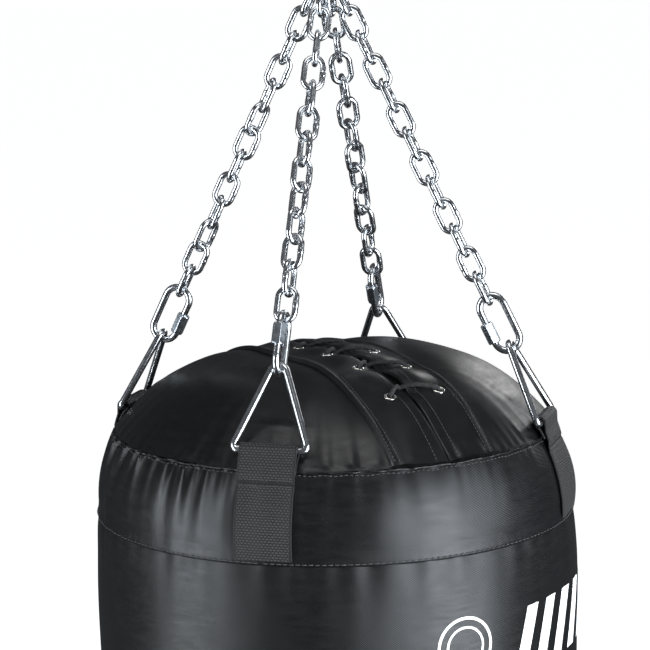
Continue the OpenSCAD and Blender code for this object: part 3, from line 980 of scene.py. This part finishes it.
def make_strap(side):
    """Webbing up the collar, round the ring's base bar and back down behind itself."""
    index = SIDES.index(side)
    a0 = index * math.pi / 2
    route = strap_route(side)
    cols = 150
    u = np.linspace(-STRAP_W / 2, STRAP_W / 2, cols)
    flat = []
    for r, z in route:
        if r is None:
            a = a0 + u / BODY_R
            radius = collar_r(np.full_like(u, RIM_Z - z), a)
            radius = np.convolve(np.pad(radius, 20, mode="edge"), np.ones(41) / 41, mode="valid")
            reach = (radius + 0.0012) * np.cos(u / BODY_R) ** 0.5
        else:
            reach = np.full_like(u, r) * 1.0
        flat.append(np.stack([reach, np.full_like(u, z)], -1))
    flat = np.array(flat)
    dist = np.concatenate([[0], np.cumsum(np.linalg.norm(np.diff(flat[:, cols // 2], axis=0), axis=1))])
    rows = 300
    even = np.linspace(0, dist[-1], rows)
    reach = np.stack([np.interp(even, dist, flat[:, c, 0]) for c in range(cols)], 1)
    level = np.stack([np.interp(even, dist, flat[:, c, 1]) for c in range(cols)], 1)
    dr, dz = np.gradient(reach, axis=0), np.gradient(level, axis=0)
    size = np.maximum(np.hypot(dr, dz), 1e-9)
    nr, nz = dz / size, -dr / size
    v = even[:, None] + 0 * u[None, :]
    uu = u[None, :] + 0 * v
    edge = STRAP_W / 2 - np.abs(uu)
    floats = weave(uu, v) * ease(edge, 0.0004, 0.0022)
    h = 0.0004 * floats + 0.0003 * bell(edge - 0.0008, 0.0008)
    tack = bell(v - (dist[14] - 0.006), 0.0016)
    h = h - 0.0009 * tack
    tangent = np.array([math.cos(a0), math.sin(a0)])
    outward = np.array([math.sin(a0), -math.cos(a0)])

    def face(offset):
        rr = reach + nr * offset
        zz = level + nz * offset
        x = outward[0] * rr + tangent[0] * uu
        y = outward[1] * rr + tangent[1] * uu
        return np.stack([x, y, zz], -1).reshape(-1, 3)

    upper = face(STRAP_T / 2 - 0.0003 + h)
    lower = face(-STRAP_T / 2 + 0.0003 - 0.4 * h)
    verts = np.vstack([upper, lower])
    count = rows * cols
    faces = grid_faces(rows, cols)
    faces += [f[::-1] for f in grid_faces(rows, cols, start=count)]
    for i in range(rows - 1):
        for j in (0, cols - 1):
            a, b = i * cols + j, (i + 1) * cols + j
            quad = (a, b, b + count, a + count)
            faces.append(quad if j == 0 else quad[::-1])
    for i in (0, rows - 1):
        for j in range(cols - 1):
            a = i * cols + j
            quad = (a, a + 1, a + 1 + count, a + count)
            faces.append(quad[::-1] if i == 0 else quad)
    piece = new_piece(f"webbing_strap_{side}", verts, faces, WEBBING)
    # Painted light and shade for the webbing's colour: pale on the raised floats, dark between them, and
    # darker in the bar tack's dip.
    shade = piece.data.attributes.new("weave", "FLOAT", "POINT")
    painted_float_light_and_tack_shade = floats * (1 - 0.8 * tack)
    shade.data.foreach_set("value", np.tile(painted_float_light_and_tack_shade.reshape(-1), 2).astype(np.float32))
    on_bag(piece, "webbing", f"strap_{side}")
    row = int(np.argmin(np.abs(even - (dist[14] - 0.006))))
    lines = []
    for k in (-3, 3):
        at = np.clip(row + k * 2, 1, rows - 2)
        pts = upper.reshape(rows, cols, 3)[at, 4:-4]
        nrm = np.stack([outward[0] * nr[at, 4:-4], outward[1] * nr[at, 4:-4], nz[at, 4:-4]], -1)
        lines.append((pts, nrm))
    stitches(f"bar_tack_{side}", lines, pitch=0.0024, length=0.0019, thick=0.0003)


# ---------- swivel ----------
def dress_swivel():
    """The swivel's CAD nodes keep their shape and get plated steel."""
    for node in ("swivel_eye", "swivel_nut", "split_pin", "bearing_race", "swivel_bow", "bearing_cap"):
        obj = frame["nodes"][node]
        obj.data.materials.clear()
        obj.data.materials.append(STEEL)
    balls = frame["nodes"]["bearing_balls"]
    balls.data.materials.clear()
    balls.data.materials.append(BEARING_STEEL)


# ---------- stage ----------
FLOOR_HALF = 60.0
BACKDROP_R = 57.0
CAMERA_RANGE = 1.97116  # from the bag's axis to the camera, on plan
CAMERA_RISE = 0.41874  # above the upper seam
CAMERA_TURN = 0.28729  # to the right of the front ring
CAMERA_PITCH = 0.16721
CAMERA_ROLL = 0.01909
CAMERA_YAW = -0.00316
FOCAL_PX = 2321.8
IMAGE_PX = 650


def make_camera():
    data = bpy.data.cameras.new("camera")
    camera = bpy.data.objects.new("camera", data)
    bpy.context.scene.collection.objects.link(camera)
    data.sensor_width = 36
    data.lens = FOCAL_PX / IMAGE_PX * 36
    data.clip_end = 200
    sine, cosine = math.sin(CAMERA_TURN), math.cos(CAMERA_TURN)
    place = Vector((CAMERA_RANGE * sine, -CAMERA_RANGE * cosine, RIM_Z + CAMERA_RISE))
    turn = Matrix.Rotation(CAMERA_TURN - CAMERA_YAW, 4, "Z")
    tip = Matrix.Rotation(math.pi / 2 - CAMERA_PITCH, 4, "X")
    roll = Matrix.Rotation(-CAMERA_ROLL, 4, "Z")
    camera.matrix_world = Matrix.Translation(place) @ turn @ tip @ roll
    bpy.context.scene.camera = camera


def area_light(name, place, aim, size, power, colour=(1, 1, 1)):
    data = bpy.data.lights.new(name, "AREA")
    data.shape = "RECTANGLE"
    data.size, data.size_y = size
    data.energy = power
    data.color = colour
    light = bpy.data.objects.new(name, data)
    light.location = place
    light.rotation_euler = (Vector(aim) - Vector(place)).to_track_quat("-Z", "Y").to_euler()
    bpy.context.scene.collection.objects.link(light)


def make_stage():
    floor_z = SHELL_BOTTOM - 0.12
    mesh = bpy.data.meshes.new("floor")
    corners = [(x * FLOOR_HALF, y * FLOOR_HALF, floor_z) for x, y in ((-1, -1), (1, -1), (1, 1), (-1, 1))]
    mesh.from_pydata(corners, [], [(0, 1, 2, 3)])
    floor = bpy.data.objects.new("floor", mesh)
    bpy.context.scene.collection.objects.link(floor)
    mat, tree, shader = material("floor_paint", Base_Color=(0.93, 0.93, 0.93, 1), Roughness=0.9)
    shader.inputs["Emission Color"].default_value = (1, 1, 1, 1)
    shader.inputs["Emission Strength"].default_value = 0.93
    mesh.materials.append(mat)
    backdrop = bpy.data.meshes.new("backdrop")
    turn = ring_angle(48)
    reach = BACKDROP_R
    wall = [(reach * math.cos(t), reach * math.sin(t), z) for z in (floor_z - 1, 60.0) for t in turn]
    backdrop.from_pydata(wall, [], grid_faces(2, 48, wrap_cols=True))
    surround = bpy.data.objects.new("backdrop", backdrop)
    bpy.context.scene.collection.objects.link(surround)
    pale, tree, shader = material("backdrop_paint", Base_Color=(0.9, 0.9, 0.9, 1), Roughness=1.0)
    shader.inputs["Emission Color"].default_value = (1, 1, 1, 1)
    shader.inputs["Emission Strength"].default_value = 0.97
    backdrop.materials.append(pale)
    for ray in ("visible_glossy", "visible_diffuse", "visible_shadow"):
        setattr(surround, ray, False)
    floor.visible_glossy = False
    world = bpy.data.worlds.new("studio")
    bpy.context.scene.world = world
    world.use_nodes = True
    background = world.node_tree.nodes["Background"]
    background.inputs["Color"].default_value = (0.9, 0.93, 1.0, 1)
    background.inputs["Strength"].default_value = 0.075
    mid = (0, 0, RIM_Z - 0.3)
    cool = (0.88, 0.94, 1.0)
    area_light("right", (2.3, -1.0, -0.75), mid, (1.7, 3.0), 135, cool)
    area_light("left", (-1.9, -1.6, -0.75), mid, (0.7, 2.8), 58, cool)
    area_light("top", (0.1, -0.5, 1.7), (0, 0, RIM_Z), (1.5, 1.2), 13)
    area_light("behind", (0.7, 2.7, 0.45), (0, 0, RIM_Z + 0.1), (1.8, 0.9), 16)
    bpy.context.scene.view_settings.view_transform = "Standard"


# ---------- build ----------
make_camera()
make_dome()
make_collar()
make_shell()
make_bottom()
make_filling()
make_piping()
make_back_seam()
make_tongue()
make_flap(-1, "closure_flap_left", "flap_left")
make_flap(1, "closure_flap_right", "flap_right")
make_eyelets(-1, "eyelet_rims_left", "eyelets_left")
make_eyelets(1, "eyelet_rims_right", "eyelets_right")
make_lace()
make_closure_stitching()
make_seam_stitching()
make_prints()
for leg in SIDES:
    make_strap(leg)
    make_ring(leg)
    make_quick_link(leg)
    make_chain(leg)
dress_swivel()
make_stage()
